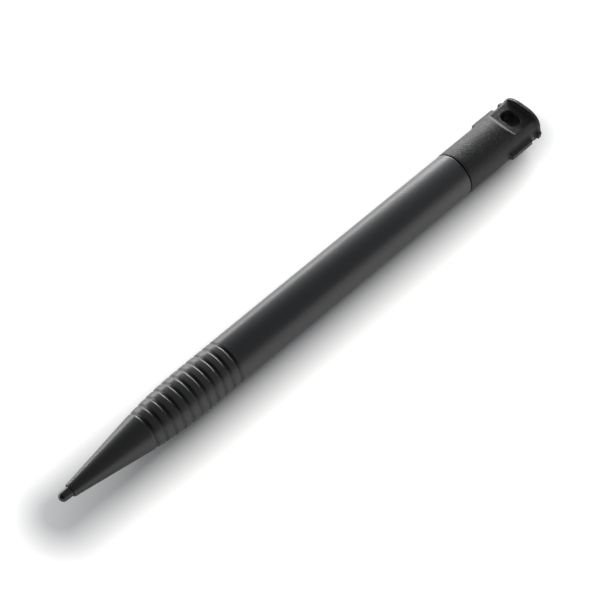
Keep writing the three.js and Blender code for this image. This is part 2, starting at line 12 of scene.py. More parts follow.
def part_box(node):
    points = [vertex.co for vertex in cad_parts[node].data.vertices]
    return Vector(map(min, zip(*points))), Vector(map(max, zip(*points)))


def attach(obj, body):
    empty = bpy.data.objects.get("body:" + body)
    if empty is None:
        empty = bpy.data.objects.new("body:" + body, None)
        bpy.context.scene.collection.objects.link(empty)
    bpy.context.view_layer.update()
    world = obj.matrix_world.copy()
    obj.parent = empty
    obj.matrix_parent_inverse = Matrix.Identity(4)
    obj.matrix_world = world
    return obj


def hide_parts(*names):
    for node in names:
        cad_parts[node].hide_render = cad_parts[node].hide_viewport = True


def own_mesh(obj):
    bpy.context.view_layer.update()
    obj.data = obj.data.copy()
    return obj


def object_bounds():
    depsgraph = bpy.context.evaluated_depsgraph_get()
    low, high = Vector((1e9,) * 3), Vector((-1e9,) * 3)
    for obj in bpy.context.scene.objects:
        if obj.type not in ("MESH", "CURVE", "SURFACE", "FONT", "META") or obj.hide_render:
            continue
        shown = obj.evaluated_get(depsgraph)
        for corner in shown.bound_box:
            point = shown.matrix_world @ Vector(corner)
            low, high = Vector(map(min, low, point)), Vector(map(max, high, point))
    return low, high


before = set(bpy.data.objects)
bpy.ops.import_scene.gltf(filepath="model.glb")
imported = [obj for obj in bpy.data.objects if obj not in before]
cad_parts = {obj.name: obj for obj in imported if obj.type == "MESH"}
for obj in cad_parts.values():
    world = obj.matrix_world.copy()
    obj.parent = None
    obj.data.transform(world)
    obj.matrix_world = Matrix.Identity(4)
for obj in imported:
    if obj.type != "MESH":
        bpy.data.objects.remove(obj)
cad_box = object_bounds()

# ---------------------------------------------------------------- sizes taken from the frame

MM = 0.001
TIP_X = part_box("nib")[0].x
AXIS_Z = sum(corner.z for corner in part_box("barrel")) / 2


def span(node):
    """(start, end, radius) of a round CAD node, in millimetres from the tip of the nib."""
    low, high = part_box(node)
    return (low.x - TIP_X) / MM, (high.x - TIP_X) / MM, (high.z - low.z) / 2 / MM


def place(along, across, up):
    """A point in the row frame, from millimetres along the pen, to its side and above its axis."""
    return Vector((TIP_X + along * MM, across * MM, AXIS_Z + up * MM))


PEN_LENGTH = (cad_box[1].x - cad_box[0].x) / MM
BARREL_START, _, BARREL_RADIUS = span("barrel")
CAP_START, _, CAP_RADIUS = span("tail_cap")
FIN_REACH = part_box("tail_cap")[1].y / MM

# ---------------------------------------------------------------- sizes of the fine surfaces

ROUND_SEGMENTS = 160
SMALL_SEGMENTS = 64
WIRE_SEGMENTS = 14
EDGE_STEPS = 8
SHARP_ANGLE = math.radians(38)
OVERSHOOT = 1

NIB_DOME = 0.93
NIB_RADIUS = 0.97
NIB_HEAD_END = 5.5
SHANK_RADIUS = 0.7

NOSE_FRONT = 2.47
NOSE_TIP_RADIUS = 1.3
NOSE_EDGE = 0.15
NOSE_BORE = 1.07
CONE_SLOPE = 0.1504
SWEEP_RADIUS = 90

FIRST_GROOVE = 19.31
GROOVE_PITCH = 1.952
GROOVE_COUNT = 11
GROOVE_DEPTH = 0.25
GROOVE_HALF_WIDTH = 0.37
GROOVE_HALF_FLOOR = 0.06

JOINT_GAP = 0.03
SPIGOT_RADIUS = 2.55
SPIGOT_END = 22.5
WINDING_BORE = 2.25
WINDING_POCKET_START = 11.5
CORE_BORE = 1.62
CORE_POCKET_START = 7

NECK_RADIUS = 3.05
NECK_CLEARANCE = 0.05
NECK_BORE = 2.65
BARREL_BORE = 3.7
BORE_SHOULDER = 41.5

SEAM = 99.12
SEAM_GAP = 0.2
SEAL_FROM, SEAL_TO, SEAL_FLOOR = 95.5, 96.5, 2.85
CAP_SPIGOT_RADIUS = 3.6
CAP_BORE = 2.4
CAP_BORE_END = 109.3
FLAT_HEIGHT = 3.12
FLAT_START = 112.66
LIP_START = 118.12
LIP_SWEEP = 0.32
SQUARING_START = 116.6
SQUARING_RATE = 3
END_HALF_WIDTH = 4.62
END_HALF_HEIGHT = 4.12
END_SQUARENESS = 2.7
END_ROUNDING = 0.14
FIN_HALF_THICKNESS = 0.55
FIN_SLOPE = 1.7
FIN_ROOT = 1.5
FIN_ROUNDING = 0.16
FIN_FLARE = 0.5
FIN_CORNER = 0.1
RAMP_ROUNDING = 0.08
FLAT_ROUNDING = 0.06
TETHER_CENTRE = 114.95
TETHER_HALF_ALONG = 1.36
TETHER_HALF_ACROSS = 1.95
TETHER_CORNER = 1.2
TETHER_ROUNDING = 0.22

# Outline of one side of the cap's fins from above: rail, notch and ear, as (along, reach).
FIN_OUTLINE = [
    (109.0, 2.4),
    (109.45, 3.6),
    (109.7, 4.6),
    (110.2, FIN_REACH),
    (115.7, FIN_REACH),
    (115.98, 4.9),
    (116.2, 3.3),
    (117.25, 3.3),
    (117.42, 4.9),
    (117.6, FIN_REACH),
    (118.4, 5.3),
    (PEN_LENGTH, 4.3),
]

# ---------------------------------------------------------------- mesh tools


def even_angles(count):
    return [2 * math.pi * i / count for i in range(count)]


def loft(name, rows, angles):
    """A closed mesh through rows of (along, radius): radius is one number, or one for each angle.
    The outer wall runs towards the tail and a bore runs back towards the tip. A row of radius 0 is
    a pole; without poles the last row joins the first."""
    vertices = []
    rings = []
    for along, radius in rows:
        if np.isscalar(radius) and radius == 0:
            rings.append([len(vertices)] * len(angles))
            vertices.append(place(along, 0, 0))
            continue
        radii = np.broadcast_to(radius, len(angles))
        rings.append(list(range(len(vertices), len(vertices) + len(angles))))
        for r, angle in zip(radii, angles):
            vertices.append(place(along, r * math.cos(angle), r * math.sin(angle)))
    has_poles = rings[0][0] == rings[0][1]
    pairs = list(zip(rings, rings[1:])) if has_poles else list(zip(rings, rings[1:] + rings[:1]))
    faces = []
    for ring, following in pairs:
        for i in range(len(angles)):
            j = (i + 1) % len(angles)
            corners = [ring[i], ring[j], following[j], following[i]]
            faces.append(list(dict.fromkeys(corners)))
    mesh = bpy.data.meshes.new(name)
    mesh.from_pydata(vertices, [], [face for face in faces if len(face) > 2])
    return mesh


def rounded(corners, steps=5):
    """A profile with rounded corners, each (along, radius) or (along, radius, size of its curve)."""
    closed = corners[0][1] > 0
    points = []
    count = len(corners)
    for i, corner in enumerate(corners):
        here = Vector(corner[:2])
        size = corner[2] if len(corner) > 2 else 0
        at_end = i in (0, count - 1) and not closed
        if size == 0 or at_end:
            points.append(tuple(here))
            continue
        before = Vector(corners[i - 1][:2]) - here
        after = Vector(corners[(i + 1) % count][:2]) - here
        start = here + before.normalized() * min(size, 0.48 * before.length)
        end = here + after.normalized() * min(size, 0.48 * after.length)
        for k in range(steps + 1):
            t = k / steps
            point = start * (1 - t) ** 2 + here * (2 * t * (1 - t)) + end * t**2
            points.append(tuple(point))
    return points


def turned(name, corners, segments=ROUND_SEGMENTS):
    return loft(name, rounded(corners), even_angles(segments))


def tube_along(name, path, radius, sides=WIRE_SEGMENTS):
    """A round wire through points given in millimetres along, across and above the axis, with flat ends."""
    points = [Vector(p) for p in path]
    side = None
    vertices = []
    for i, point in enumerate(points):
        ahead = points[min(i + 1, len(points) - 1)] - points[max(i - 1, 0)]
        ahead.normalize()
        start = side or (Vector((0, 0, 1)) if abs(ahead.z) < 0.9 else Vector((0, 1, 0)))
        side = (start - ahead * start.dot(ahead)).normalized()
        other = ahead.cross(side)
        for angle in even_angles(sides):
            spot = point + (side * math.cos(angle) + other * math.sin(angle)) * radius
            vertices.append(place(*spot))
    faces = []
    for i in range(len(points) - 1):
        for k in range(sides):
            n = (k + 1) % sides
            faces.append([i * sides + k, i * sides + n, (i + 1) * sides + n, (i + 1) * sides + k])
    last = (len(points) - 1) * sides
    faces.append(list(reversed(range(sides))))
    faces.append(list(range(last, last + sides)))
    mesh = bpy.data.meshes.new(name)
    mesh.from_pydata(vertices, [], faces)
    return mesh


def block(name, low, high, bevel, segments=3):
    """A box with rounded edges between two corners in metres."""
    form = bmesh.new()
    size = high - low
    matrix = Matrix.Translation((low + high) / 2) @ Matrix.Diagonal((*size, 1))
    bmesh.ops.create_cube(form, size=1, matrix=matrix)
    bmesh.ops.bevel(
        form, geom=form.edges[:], offset=bevel, segments=segments, profile=0.5, affect="EDGES"
    )
    mesh = bpy.data.meshes.new(name)
    form.to_mesh(mesh)
    form.free()
    return mesh


def join_meshes(name, meshes):
    form = bmesh.new()
    for mesh in meshes:
        form.from_mesh(mesh)
    joined = bpy.data.meshes.new(name)
    form.to_mesh(joined)
    form.free()
    return joined


def cut(mesh, cutters):
    """The mesh with each cutter's space removed from it."""
    body = bpy.data.objects.new("body_to_cut", mesh)
    bpy.context.scene.collection.objects.link(body)
    tools = []
    for cutter in cutters:
        tool = bpy.data.objects.new("cutting_tool", cutter)
        bpy.context.scene.collection.objects.link(tool)
        modifier = body.modifiers.new("cut", "BOOLEAN")
        modifier.object = tool
        modifier.operation = "DIFFERENCE"
        modifier.solver = "EXACT"
        tools.append(tool)
    result = bpy.data.meshes.new_from_object(body.evaluated_get(bpy.context.evaluated_depsgraph_get()))
    for used in [body, *tools]:
        bpy.data.objects.remove(used)
    return result


def mark_wear(mesh):
    """Writes how far each vertex stands out from its neighbours, 0 to 1, for materials to polish."""
    count = len(mesh.vertices)
    spots = np.empty(count * 3, np.float32)
    normals = np.empty(count * 3, np.float32)
    ends = np.empty(len(mesh.edges) * 2, np.int32)
    mesh.vertices.foreach_get("co", spots)
    mesh.vertices.foreach_get("normal", normals)
    mesh.edges.foreach_get("vertices", ends)
    spots = spots.reshape(-1, 3)
    ends = ends.reshape(-1, 2)
    sums = np.zeros((count, 3))
    reach = np.zeros(count)
    degree = np.zeros(count)
    for a, b in ((0, 1), (1, 0)):
        step = spots[ends[:, b]] - spots[ends[:, a]]
        length = np.linalg.norm(step, axis=1)
        np.add.at(sums, ends[:, a], step / np.maximum(length, 1e-9)[:, None])
        np.add.at(reach, ends[:, a], length)
        np.add.at(degree, ends[:, a], 1)
    inward = -(sums * normals.reshape(-1, 3)).sum(axis=1) / np.maximum(degree, 1)
    attribute = mesh.attributes.new("worn", "FLOAT", "POINT")
    attribute.data.foreach_set("value", np.clip(inward * 2.5, 0, 1).astype(np.float32))


def piece(name, mesh, body, nodes, material):
    """A finished piece: smooth, worn, riding on its body and standing for its CAD nodes."""
    mesh.name = name
    mesh.shade_smooth()
    mesh.set_sharp_from_angle(angle=SHARP_ANGLE)
    mark_wear(mesh)
    mesh.materials.clear()
    mesh.materials.append(material)
    made = bpy.data.objects.new(name, mesh)
    bpy.context.scene.collection.objects.link(made)
    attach(made, body)
    if nodes:
        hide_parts(*nodes)
    return made


# ---------------------------------------------------------------- materials


class Shader:
    """Short calls for building one node material."""

    def __init__(self, name):
        self.material = bpy.data.materials.new(name)
        self.material.use_nodes = True
        self.tree = self.material.node_tree
        self.surface = self.tree.nodes["Principled BSDF"]
        self.here = self.add("ShaderNodeTexCoord").outputs["Object"]

    def add(self, kind, **settings):
        node = self.tree.nodes.new(kind)
        for key, value in settings.items():
            setattr(node, key, value)
        return node

    def link(self, source, target):
        self.tree.links.new(source, target)

    def noise(self, size_mm, detail=2.0, roughness=0.5, stretch=(1, 1, 1)):
        mapping = self.add("ShaderNodeMapping")
        mapping.inputs["Scale"].default_value = stretch
        self.link(self.here, mapping.inputs["Vector"])
        node = self.add("ShaderNodeTexNoise")
        node.inputs["Scale"].default_value = 1 / (size_mm * MM)
        node.inputs["Detail"].default_value = detail
        node.inputs["Roughness"].default_value = roughness
        self.link(mapping.outputs["Vector"], node.inputs["Vector"])
        return node.outputs["Fac"]

    def fit(self, value, low, high, from_low=0.0, from_high=1.0):
        node = self.add("ShaderNodeMapRange")
        node.inputs["From Min"].default_value = from_low
        node.inputs["From Max"].default_value = from_high
        node.inputs["To Min"].default_value = low
        node.inputs["To Max"].default_value = high
        self.link(value, node.inputs["Value"])
        return node.outputs["Result"]

    def math(self, operation, a, b):
        node = self.add("ShaderNodeMath", operation=operation)
        for socket, value in zip(node.inputs, (a, b)):
            if isinstance(value, (int, float)):
                socket.default_value = value
            else:
                self.link(value, socket)
        return node.outputs["Value"]

    def mix(self, factor, a, b):
        node = self.add("ShaderNodeMix", data_type="RGBA")
        self.link(factor, node.inputs["Factor"])
        for socket, value in ((node.inputs[6], a), (node.inputs[7], b)):
            if isinstance(value, tuple):
                socket.default_value = (*value, 1)
            else:
                self.link(value, socket)
        return node.outputs[2]

    def worn(self):
        return self.add("ShaderNodeAttribute", attribute_name="worn").outputs["Fac"]

    def bump(self, *layers):
        """Stacks height layers, each (height socket, depth in millimetres)."""
        normal = None
        for height, depth in layers:
            node = self.add("ShaderNodeBump")
            node.inputs["Strength"].default_value = 1
            node.inputs["Distance"].default_value = depth * MM
            self.link(height, node.inputs["Height"])
            if normal:
                self.link(normal, node.inputs["Normal"])
            normal = node.outputs["Normal"]
        self.link(normal, self.surface.inputs["Normal"])

    def set(self, **values):
        for key, value in values.items():
            socket = self.surface.inputs[key.replace("_", " ")]
            if isinstance(value, (tuple, int, float)):
                socket.default_value = (*value, 1) if isinstance(value, tuple) else value
            else:
                self.link(value, socket)


def moulded_plastic(name, colour, roughness, grain_mm, grain_depth, polish=0.12, gloss=0.5):
    """Injection-moulded plastic: a fine grain, slow changes of sheen, polished edges and fine dust."""
    shader = Shader(name)
    grain = shader.noise(grain_mm, detail=3, roughness=0.6)
    flow = shader.noise(9, detail=2, stretch=(0.3, 1, 1))
    specks = shader.noise(0.16, detail=0)
    worn = shader.worn()
    lighter = tuple(min(1, c * 1.9 + 0.006) for c in colour)
    dusty = shader.fit(specks, 0, 0.35, 0.66, 0.8)
    shade = shader.mix(dusty, colour, lighter)
    shade = shader.mix(shader.fit(worn, 0, 0.5), shade, lighter)
    rough = shader.math("ADD", shader.fit(flow, -0.04, 0.04), roughness)
    rough = shader.math("ADD", rough, shader.fit(grain, -0.05, 0.05))
    rough = shader.math("SUBTRACT", rough, shader.fit(worn, 0, polish))
    shader.set(Base_Color=shade, Roughness=rough, IOR=1.5, Specular_IOR_Level=gloss)
    shader.bump((flow, 0.004), (grain, grain_depth))
    return shader.material


def rubber(name, colour, roughness=0.8):
    shader = Shader(name)
    bloom = shader.noise(0.9, detail=4)
    grain = shader.noise(0.07, detail=2)
    shade = shader.mix(shader.fit(bloom, 0, 0.5, 0.45, 0.8), colour, tuple(c * 2.2 + 0.01 for c in colour))
    shader.set(Base_Color=shade, Roughness=roughness, Sheen_Weight=0.15)
    shader.bump((grain, 0.008))
    return shader.material


def drawn_metal(name, colour, roughness=0.28, streak=(1, 8, 8)):
    """Drawn or rolled metal: fine streaks along the pen, light tarnish."""
    shader = Shader(name)
    streaks = shader.noise(0.12, detail=2, stretch=streak)
    tarnish = shader.noise(1.4, detail=3)
    dull = tuple(c * 0.55 for c in colour)
    shade = shader.mix(shader.fit(tarnish, 0, 0.6, 0.5, 0.85), colour, dull)
    rough = shader.math("ADD", shader.fit(streaks, -0.08, 0.12), roughness)
    shader.set(Base_Color=shade, Roughness=rough, Metallic=1.0)
    shader.bump((streaks, 0.003))
    return shader.material


def ceramic(name, colour, roughness=0.45):
    shader = Shader(name)
    grit = shader.noise(0.08, detail=3)
    stain = shader.noise(1.1, detail=2)
    shade = shader.mix(shader.fit(stain, 0, 0.35, 0.4, 0.8), colour, tuple(c * 0.8 for c in colour))
    rough = shader.math("ADD", shader.fit(grit, -0.08, 0.1), roughness)
    shader.set(Base_Color=shade, Roughness=rough)
    shader.bump((grit, 0.006))
    return shader.material


def foam(name, colour):
    shader = Shader(name)
    cells = shader.add("ShaderNodeTexVoronoi", feature="DISTANCE_TO_EDGE")
    cells.inputs["Scale"].default_value = 1 / (0.25 * MM)
    shader.link(shader.here, cells.inputs["Vector"])
    wall = shader.fit(cells.outputs["Distance"], 0, 1, 0.02, 0.3)
    shade = shader.mix(wall, tuple(c * 0.35 for c in colour), colour)
    shader.set(Base_Color=shade, Roughness=0.95, Sheen_Weight=0.2)
    shader.bump((wall, 0.06))
    return shader.material


def laminate(name, colour):
    """Solder mask over woven glass: the weave shows faintly through."""
    shader = Shader(name)
    weave_a = shader.noise(0.35, detail=0, stretch=(0.2, 3, 1))
    weave_b = shader.noise(0.35, detail=0, stretch=(3, 0.2, 1))
    weave = shader.math("MULTIPLY", weave_a, weave_b)
    shade = shader.mix(shader.fit(weave, 0, 0.8, 0.1, 0.5), colour, tuple(c * 1.7 for c in colour))
    shader.set(Base_Color=shade, Roughness=0.38, Coat_Weight=0.4, Coat_Roughness=0.2)
    shader.bump((weave, 0.01))
    return shader.material


NIB_PLASTIC = moulded_plastic("black_acetal", (0.008, 0.008, 0.0085), 0.22, 0.12, 0.0008)
CONE_PLASTIC = moulded_plastic("satin_cone_plastic", (0.0105, 0.0098, 0.0095), 0.38, 0.1, 0.0006)
GRIP_PLASTIC = moulded_plastic("satin_rib_plastic", (0.0105, 0.0098, 0.0095), 0.38, 0.1, 0.0006)
BARREL_PLASTIC = moulded_plastic("fine_grain_barrel_plastic", (0.0095, 0.0097, 0.0105), 0.38, 0.3, 0.012)
CAP_PLASTIC = moulded_plastic("grained_cap_plastic", (0.0105, 0.0105, 0.011), 0.5, 0.36, 0.09, gloss=0.28)
SENSOR_PLASTIC = moulded_plastic("black_sensor_plastic", (0.03, 0.03, 0.032), 0.5, 0.15, 0.003)
NYLON = moulded_plastic("natural_acetal", (0.68, 0.64, 0.52), 0.45, 0.2, 0.002)
RUBBER = rubber("black_silicone", (0.012, 0.012, 0.012))
FERRITE = ceramic("sintered_ferrite", (0.045, 0.045, 0.05), 0.55)
COPPER = drawn_metal("enamelled_copper", (0.62, 0.24, 0.1), 0.3)
STEEL = drawn_metal("spring_wire_steel", (0.55, 0.56, 0.58), 0.25)
TIN = drawn_metal("tinned_ends", (0.68, 0.68, 0.7), 0.35, (1, 1, 1))
BRASS = drawn_metal("contact_brass", (0.72, 0.5, 0.2), 0.25, (1, 1, 1))
WHITE_CERAMIC = ceramic("white_alumina", (0.82, 0.8, 0.73))
CHIP_CERAMIC = ceramic("tan_chip_ceramic", (0.36, 0.22, 0.1))
RESISTOR_GLAZE = ceramic("black_glaze", (0.015, 0.015, 0.018), 0.25)
FOAM = foam("grey_foam", (0.1, 0.1, 0.11))
LAMINATE = laminate("green_laminate", (0.012, 0.11, 0.04))

# ---------------------------------------------------------------- housing

SWEEP_ANGLE = math.atan(CONE_SLOPE)
CONE_MEETS_BARREL = NOSE_FRONT + NOSE_EDGE + (BARREL_RADIUS - NOSE_TIP_RADIUS) / CONE_SLOPE
SWEEP_END = CONE_MEETS_BARREL + SWEEP_RADIUS * math.tan(SWEEP_ANGLE / 2)
SWEEP_START = SWEEP_END - SWEEP_RADIUS * math.sin(SWEEP_ANGLE)
LAST_GROOVE = FIRST_GROOVE + GROOVE_PITCH * (GROOVE_COUNT - 1)


def envelope(along):
    """Radius of the housing without its grooves: a cone, an arc tangent to it, and the straight barrel."""
    if along <= SWEEP_START:
        return NOSE_TIP_RADIUS + CONE_SLOPE * (along - NOSE_FRONT - NOSE_EDGE)
    if along < SWEEP_END:
        return BARREL_RADIUS - SWEEP_RADIUS + math.sqrt(SWEEP_RADIUS**2 - (SWEEP_END - along) ** 2)
    return BARREL_RADIUS


def groove(centre, from_edge=True, to_edge=True):
    """Corners of one groove: soft shoulders, sloping flanks and a rounded floor."""
    floor = envelope(centre) - GROOVE_DEPTH
    corners = []
    if from_edge:
        edge = centre - GROOVE_HALF_WIDTH
        corners.append((edge, envelope(edge), 0.11))
        corners.append((centre - GROOVE_HALF_FLOOR, floor, 0.06))
    else:
        corners.append((centre, floor))
    if to_edge:
        edge = centre + GROOVE_HALF_WIDTH
        corners.append((centre + GROOVE_HALF_FLOOR, floor, 0.06))
        corners.append((edge, envelope(edge), 0.11))
    else:
        corners.append((centre, floor))
    return corners


def make_nib():
    start, end, _ = span("nib")
    dome = []
    for i in range(13):
        angle = math.radians(82) * i / 12
        dome.append((NIB_DOME * (1 - math.cos(angle)), NIB_DOME * math.sin(angle)))
    corners = [
        *dome,
        (NOSE_FRONT - 0.4, NIB_RADIUS, 0.2),
        (NIB_HEAD_END, NIB_RADIUS, 0.1),
        (NIB_HEAD_END + NIB_RADIUS - SHANK_RADIUS, SHANK_RADIUS, 0.1),
        (end, SHANK_RADIUS, 0.15),
        (end, 0),
    ]
    mesh = turned("writing_tip", corners, SMALL_SEGMENTS)
    piece("writing_tip", mesh, "writing_nib", ["nib"], NIB_PLASTIC)


def make_nose_cone():
    end = FIRST_GROOVE - JOINT_GAP
    sweep_middle = (SWEEP_START + FIRST_GROOVE) / 2
    corners = [
        (NOSE_FRONT, NOSE_BORE, 0.06),
        (NOSE_FRONT, NOSE_TIP_RADIUS - 0.02, NOSE_EDGE),
        (SWEEP_START, envelope(SWEEP_START)),
        (sweep_middle, envelope(sweep_middle)),
        *groove(FIRST_GROOVE, to_edge=False)[:-1],
        (end, envelope(end) - GROOVE_DEPTH),
        (end, SPIGOT_RADIUS, 0.05),
        (SPIGOT_END, SPIGOT_RADIUS, 0.15),
        (SPIGOT_END, WINDING_BORE, 0.05),
        (WINDING_POCKET_START, WINDING_BORE, 0.1),
        (WINDING_POCKET_START, CORE_BORE, 0.05),
        (CORE_POCKET_START, CORE_BORE, 0.1),
        (CORE_POCKET_START, NOSE_BORE, 0.05),
    ]
    mesh = turned("nose", corners)
    piece("nose_cone_shell", mesh, "housing", ["nose_cone"], CONE_PLASTIC)


def make_grip():
    corners = [(FIRST_GROOVE, NECK_RADIUS + NECK_CLEARANCE)]
    for i in range(GROOVE_COUNT):
        first = i == 0
        last = i == GROOVE_COUNT - 1
        corners.extend(groove(FIRST_GROOVE + GROOVE_PITCH * i, not first, not last))
    corners.append((LAST_GROOVE, NECK_RADIUS + NECK_CLEARANCE))
    piece("grip_ribs", turned("grip", corners), "housing", ["grip_sleeve"], GRIP_PLASTIC)


def make_barrel():
    end = SEAM - SEAM_GAP / 2
    start = LAST_GROOVE + JOINT_GAP
    corners = [
        (BARREL_START, NECK_BORE, 0.05),
        (BARREL_START, NECK_RADIUS, 0.1),
        (start, NECK_RADIUS, 0.05),
        (start, envelope(LAST_GROOVE) - GROOVE_DEPTH),
        *groove(LAST_GROOVE, from_edge=False)[1:],
        (end, BARREL_RADIUS, 0.1),
        (end, BARREL_BORE, 0.1),
        (BORE_SHOULDER, BARREL_BORE, 0.1),
        (BORE_SHOULDER, NECK_BORE, 0.05),
    ]
    mesh = turned("barrel", corners)
    piece("barrel_tube", mesh, "housing", ["barrel"], BARREL_PLASTIC)


def soft_min(a, b, size):
    """The smaller of two lengths, with a rounded edge of that size where they cross."""
    near = np.maximum(size - np.abs(a - b), 0) / size
    return np.minimum(a, b) - near**2 * size / 4


def soft_max(a, b, size):
    return -soft_min(-a, -b, size)


def fin_reach(along):
    """How far the fins stand out at a place on the cap, averaged over a short stretch to round corners."""
    spots = along + np.linspace(-FIN_CORNER, FIN_CORNER, 9)
    places, reaches = zip(*FIN_OUTLINE)
    return float(np.interp(spots, places, reaches).mean())


def flat_height(along):
    """Height of the tether flat: down a ramp, level, then swept up to the lip at the end of the cap."""
    if along >= LIP_START:
        return 2 * CAP_RADIUS
    ramp = FLAT_HEIGHT + FLAT_START - along
    height = float(soft_max(np.float64(FLAT_HEIGHT), np.float64(ramp), RAMP_ROUNDING))
    into_sweep = along - (LIP_START - LIP_SWEEP)
    if into_sweep > 0:
        height += LIP_SWEEP - math.sqrt(LIP_SWEEP**2 - into_sweep**2)
    return height


def cap_radius(along, angles):
    """Distance from the axis to the cap's outside, for each angle around the pen."""
    across = np.maximum(np.abs(np.cos(angles)), 1e-6)
    up = np.maximum(np.abs(np.sin(angles)), 1e-6)
    share = min(max((along - SQUARING_START) / (LIP_START - SQUARING_START), 0), 1) ** SQUARING_RATE
    power = 2 + (END_SQUARENESS - 2) * share
    half_width = CAP_RADIUS + (END_HALF_WIDTH - CAP_RADIUS) * share
    half_height = CAP_RADIUS + (END_HALF_HEIGHT - CAP_RADIUS) * share
    section = ((across / half_width) ** power + (up / half_height) ** power) ** (-1 / power)
    section = soft_min(section, flat_height(along) / up, FLAT_ROUNDING)
    reach = fin_reach(along)
    sloping = (reach + FIN_SLOPE * FIN_HALF_THICKNESS) / (across + FIN_SLOPE * up)
    fin = soft_min(reach / across, sloping, FIN_ROUNDING)
    fin = soft_min(fin, FIN_ROOT / up, FIN_ROUNDING)
    return soft_max(section, fin, FIN_FLARE)


def cap_angles():
    """Angles around the cap, close together at the fins' edges and at the edges of the flats."""
    quarter = []
    for start, end, step in ((0, 14, 0.7), (14, 38, 1.5), (38, 52, 0.5), (52, 90, 1)):
        quarter.extend(np.arange(start, end, step))
    half = quarter + [90] + [180 - a for a in reversed(quarter[1:])]
    full = half + [180 + a for a in half]
    return np.radians(np.array(full))


def tether_cutter():
    """The tether slot: a rounded rectangle drawn down through the cap, flared where it meets the flats."""
    outline_steps = 14
    levels = []
    for i in range(EDGE_STEPS + 1):
        turn = math.pi / 2 * i / EDGE_STEPS
        height = FLAT_HEIGHT - TETHER_ROUNDING * math.cos(turn)
        levels.append((height, TETHER_ROUNDING * (1 - math.sin(turn))))
    heights = [(CAP_RADIUS + OVERSHOOT, TETHER_ROUNDING)]
    heights += [(h, TETHER_ROUNDING - grow) for h, grow in reversed(levels)]
    heights += [(-h, grow) for h, grow in reversed(heights)]
    vertices = []
    for height, grow in heights:
        for quarter in range(4):
            middle = math.pi / 2 * quarter
            side_x = 1 if quarter in (0, 3) else -1
            side_y = 1 if quarter in (0, 1) else -1
            for k in range(outline_steps):
                angle = middle + math.pi / 2 * k / (outline_steps - 1)
                reach = TETHER_CORNER + grow
                x = side_x * (TETHER_HALF_ALONG - TETHER_CORNER) + reach * math.cos(angle)
                y = side_y * (TETHER_HALF_ACROSS - TETHER_CORNER) + reach * math.sin(angle)
                vertices.append(place(TETHER_CENTRE + x, y, height))
    ring = 4 * outline_steps
    faces = []
    for i in range(len(heights) - 1):
        for k in range(ring):
            n = (k + 1) % ring
            faces.append([i * ring + n, i * ring + k, (i + 1) * ring + k, (i + 1) * ring + n])
    faces.append(list(range(ring)))
    faces.append(list(reversed(range((len(heights) - 1) * ring, len(heights) * ring))))
    mesh = bpy.data.meshes.new("tether_cutter")
    mesh.from_pydata(vertices, [], faces)
    return mesh


def make_tail_cap():
    angles = cap_angles()
    front = SEAM + SEAM_GAP / 2
    inside = rounded(
        [
            (CAP_BORE_END, 0),
            (CAP_BORE_END, CAP_BORE, 0.3),
            (CAP_START, CAP_BORE, 0.1),
            (CAP_START, CAP_SPIGOT_RADIUS, 0.25),
            (SEAL_FROM, CAP_SPIGOT_RADIUS, 0.05),
            (SEAL_FROM, SEAL_FLOOR, 0.08),
            (SEAL_TO, SEAL_FLOOR, 0.08),
            (SEAL_TO, CAP_SPIGOT_RADIUS, 0.05),
            (front, CAP_SPIGOT_RADIUS, 0.05),
            (front, CAP_RADIUS, 0.12),
            (front + 1, CAP_RADIUS),
        ]
    )
    stations = [*np.arange(102, 109, 1.4), *np.arange(109, 110.6, 0.08), *np.arange(110.7, 111.2, 0.16)]
    stations += [*np.arange(111.1, 112.8, 0.035), *np.arange(112.9, 115.1, 0.25)]
    stations += [*np.arange(115.1, 115.5, 0.1), *np.arange(115.5, PEN_LENGTH - END_ROUNDING, 0.035)]
    rows = inside + [(along, cap_radius(along, angles)) for along in stations]
    edge = PEN_LENGTH - END_ROUNDING
    edge_radius = cap_radius(edge, angles)
    for i in range(EDGE_STEPS + 1):
        turn = math.pi / 2 * i / EDGE_STEPS
        along = edge + END_ROUNDING * math.sin(turn)
        rows.append((along, edge_radius - END_ROUNDING * (1 - math.cos(turn))))
    rows.append((PEN_LENGTH, 0.5 * edge_radius))
    rows.append((PEN_LENGTH, 0))
    mesh = cut(loft("cap", rows, list(angles)), [tether_cutter()])
    piece("tail_cap_shell", mesh, "housing", ["tail_cap"], CAP_PLASTIC)


def make_cap_seal():
    start, end, radius = span("cap_seal")
    half = (end - start) / 2
    corners = []
    for i in range(24):
        turn = 2 * math.pi * i / 24
        corners.append(((start + end) / 2 - half * math.cos(turn), radius - half + half * math.sin(turn)))
    piece("seal_ring", turned("seal", corners), "housing", ["cap_seal"], RUBBER)


# ---------------------------------------------------------------- antenna


